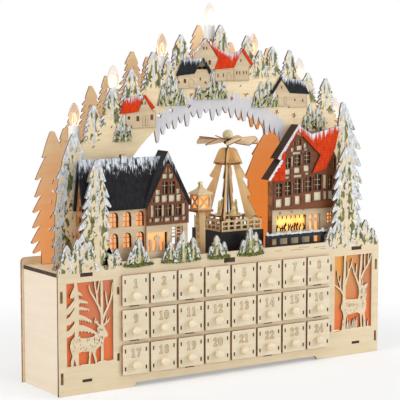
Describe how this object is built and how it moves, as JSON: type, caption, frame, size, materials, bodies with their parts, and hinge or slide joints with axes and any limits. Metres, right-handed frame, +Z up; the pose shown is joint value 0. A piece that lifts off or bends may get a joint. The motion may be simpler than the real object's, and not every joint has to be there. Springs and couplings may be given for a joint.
{
  "type": "light-up advent calendar",
  "caption": "Wooden light-up advent calendar: drawer base with fretwork windows, snowy village scene, candle arch and a turning pyramid.",
  "frame": {"origin": "on the ground, in the middle of the footprint with all drawers shut", "axes": "+Z up, -Y towards the viewer (drawer fronts), +X to the viewer's right"},
  "size_m": [0.44, 0.1008, 0.421],
  "materials": {
    "wood": "bare birch plywood with brown laser-cut edges",
    "drawer_wood": "bare birch plywood, turned knob",
    "forest_wood": "bare plywood in warm light",
    "timber": "brown stained plywood",
    "charcoal": "charcoal paint with white snow",
    "red_roof": "orange-red paint with white snow",
    "film": "translucent orange film",
    "candle": "white sleeve with a clear lit bulb",
    "spindle": "bare wood figures on a thin rod",
    "black_plastic": "black moulded plastic"
  },
  "bodies": {
    "base": {"front_panel": "wood", "back_panel": "wood", "side_panel_left": "wood", "side_panel_right": "wood", "bottom_panel": "wood", "deck_board": "wood", "drawer_rack": "wood", "window_film_left": "film", "window_film_right": "film", "arch_panel": "wood", "forest_panel": "forest_wood", "candle_1": "candle", "candle_2": "candle", "candle_3": "candle", "candle_4": "candle", "candle_5": "candle", "candle_6": "candle", "candle_7": "candle", "left_house_walls": "wood", "left_house_timber": "timber", "left_house_roof": "charcoal", "right_house_walls": "wood", "right_house_timber": "timber", "right_house_roof": "red_roof", "garden_fence": "charcoal", "pyramid_plinth": "charcoal", "pyramid_fence": "wood", "pyramid_frame": "wood", "street_lamp": "wood", "battery_box": "black_plastic", "window_lamp_left": "candle", "window_lamp_right": "candle"},
    "drawer_01": {"drawer_01": "drawer_wood"},
    "drawer_02": {"drawer_02": "drawer_wood"},
    "drawer_03": {"drawer_03": "drawer_wood"},
    "drawer_04": {"drawer_04": "drawer_wood"},
    "drawer_05": {"drawer_05": "drawer_wood"},
    "drawer_06": {"drawer_06": "drawer_wood"},
    "drawer_07": {"drawer_07": "drawer_wood"},
    "drawer_08": {"drawer_08": "drawer_wood"},
    "drawer_09": {"drawer_09": "drawer_wood"},
    "drawer_10": {"drawer_10": "drawer_wood"},
    "drawer_11": {"drawer_11": "drawer_wood"},
    "drawer_12": {"drawer_12": "drawer_wood"},
    "drawer_13": {"drawer_13": "drawer_wood"},
    "drawer_14": {"drawer_14": "drawer_wood"},
    "drawer_15": {"drawer_15": "drawer_wood"},
    "drawer_16": {"drawer_16": "drawer_wood"},
    "drawer_17": {"drawer_17": "drawer_wood"},
    "drawer_18": {"drawer_18": "drawer_wood"},
    "drawer_19": {"drawer_19": "drawer_wood"},
    "drawer_20": {"drawer_20": "drawer_wood"},
    "drawer_21": {"drawer_21": "drawer_wood"},
    "drawer_22": {"drawer_22": "drawer_wood"},
    "drawer_23": {"drawer_23": "drawer_wood"},
    "drawer_24": {"drawer_24": "drawer_wood"},
    "pyramid_wheel": {"pyramid_spindle": "spindle", "pyramid_rotor": "wood"},
    "cover": {"battery_cover": "black_plastic"},
    "switch": {"power_switch": "black_plastic"}
  },
  "joints": [
    {"name": "drawer_01_slide", "type": "slide", "parent": "base", "child": "drawer_01", "axis": [0, -1, 0], "range_m": [0, 0.065]},
    {"name": "drawer_02_slide", "type": "slide", "parent": "base", "child": "drawer_02", "axis": [0, -1, 0], "range_m": [0, 0.065]},
    {"name": "drawer_03_slide", "type": "slide", "parent": "base", "child": "drawer_03", "axis": [0, -1, 0], "range_m": [0, 0.065]},
    {"name": "drawer_04_slide", "type": "slide", "parent": "base", "child": "drawer_04", "axis": [0, -1, 0], "range_m": [0, 0.065]},
    {"name": "drawer_05_slide", "type": "slide", "parent": "base", "child": "drawer_05", "axis": [0, -1, 0], "range_m": [0, 0.065]},
    {"name": "drawer_06_slide", "type": "slide", "parent": "base", "child": "drawer_06", "axis": [0, -1, 0], "range_m": [0, 0.065]},
    {"name": "drawer_07_slide", "type": "slide", "parent": "base", "child": "drawer_07", "axis": [0, -1, 0], "range_m": [0, 0.065]},
    {"name": "drawer_08_slide", "type": "slide", "parent": "base", "child": "drawer_08", "axis": [0, -1, 0], "range_m": [0, 0.065]},
    {"name": "drawer_09_slide", "type": "slide", "parent": "base", "child": "drawer_09", "axis": [0, -1, 0], "range_m": [0, 0.065]},
    {"name": "drawer_10_slide", "type": "slide", "parent": "base", "child": "drawer_10", "axis": [0, -1, 0], "range_m": [0, 0.065]},
    {"name": "drawer_11_slide", "type": "slide", "parent": "base", "child": "drawer_11", "axis": [0, -1, 0], "range_m": [0, 0.065]},
    {"name": "drawer_12_slide", "type": "slide", "parent": "base", "child": "drawer_12", "axis": [0, -1, 0], "range_m": [0, 0.065]},
    {"name": "drawer_13_slide", "type": "slide", "parent": "base", "child": "drawer_13", "axis": [0, -1, 0], "range_m": [0, 0.065]},
    {"name": "drawer_14_slide", "type": "slide", "parent": "base", "child": "drawer_14", "axis": [0, -1, 0], "range_m": [0, 0.065]},
    {"name": "drawer_15_slide", "type": "slide", "parent": "base", "child": "drawer_15", "axis": [0, -1, 0], "range_m": [0, 0.065]},
    {"name": "drawer_16_slide", "type": "slide", "parent": "base", "child": "drawer_16", "axis": [0, -1, 0], "range_m": [0, 0.065]},
    {"name": "drawer_17_slide", "type": "slide", "parent": "base", "child": "drawer_17", "axis": [0, -1, 0], "range_m": [0, 0.065]},
    {"name": "drawer_18_slide", "type": "slide", "parent": "base", "child": "drawer_18", "axis": [0, -1, 0], "range_m": [0, 0.065]},
    {"name": "drawer_19_slide", "type": "slide", "parent": "base", "child": "drawer_19", "axis": [0, -1, 0], "range_m": [0, 0.065]},
    {"name": "drawer_20_slide", "type": "slide", "parent": "base", "child": "drawer_20", "axis": [0, -1, 0], "range_m": [0, 0.065]},
    {"name": "drawer_21_slide", "type": "slide", "parent": "base", "child": "drawer_21", "axis": [0, -1, 0], "range_m": [0, 0.065]},
    {"name": "drawer_22_slide", "type": "slide", "parent": "base", "child": "drawer_22", "axis": [0, -1, 0], "range_m": [0, 0.065]},
    {"name": "drawer_23_slide", "type": "slide", "parent": "base", "child": "drawer_23", "axis": [0, -1, 0], "range_m": [0, 0.065]},
    {"name": "drawer_24_slide", "type": "slide", "parent": "base", "child": "drawer_24", "axis": [0, -1, 0], "range_m": [0, 0.065]},
    {"name": "pyramid_spin", "type": "hinge", "parent": "base", "child": "pyramid_wheel", "pos_m": [0.026, 0.0044, 0.2], "axis": [0, 0, 1], "continuous": true},
    {"name": "cover_slide", "type": "slide", "parent": "base", "child": "cover", "axis": [0, 0, 1], "range_m": [0, 0.008]},
    {"name": "switch_slide", "type": "slide", "parent": "base", "child": "switch", "axis": [-1, 0, 0], "range_m": [0, 0.004]}
  ]
}
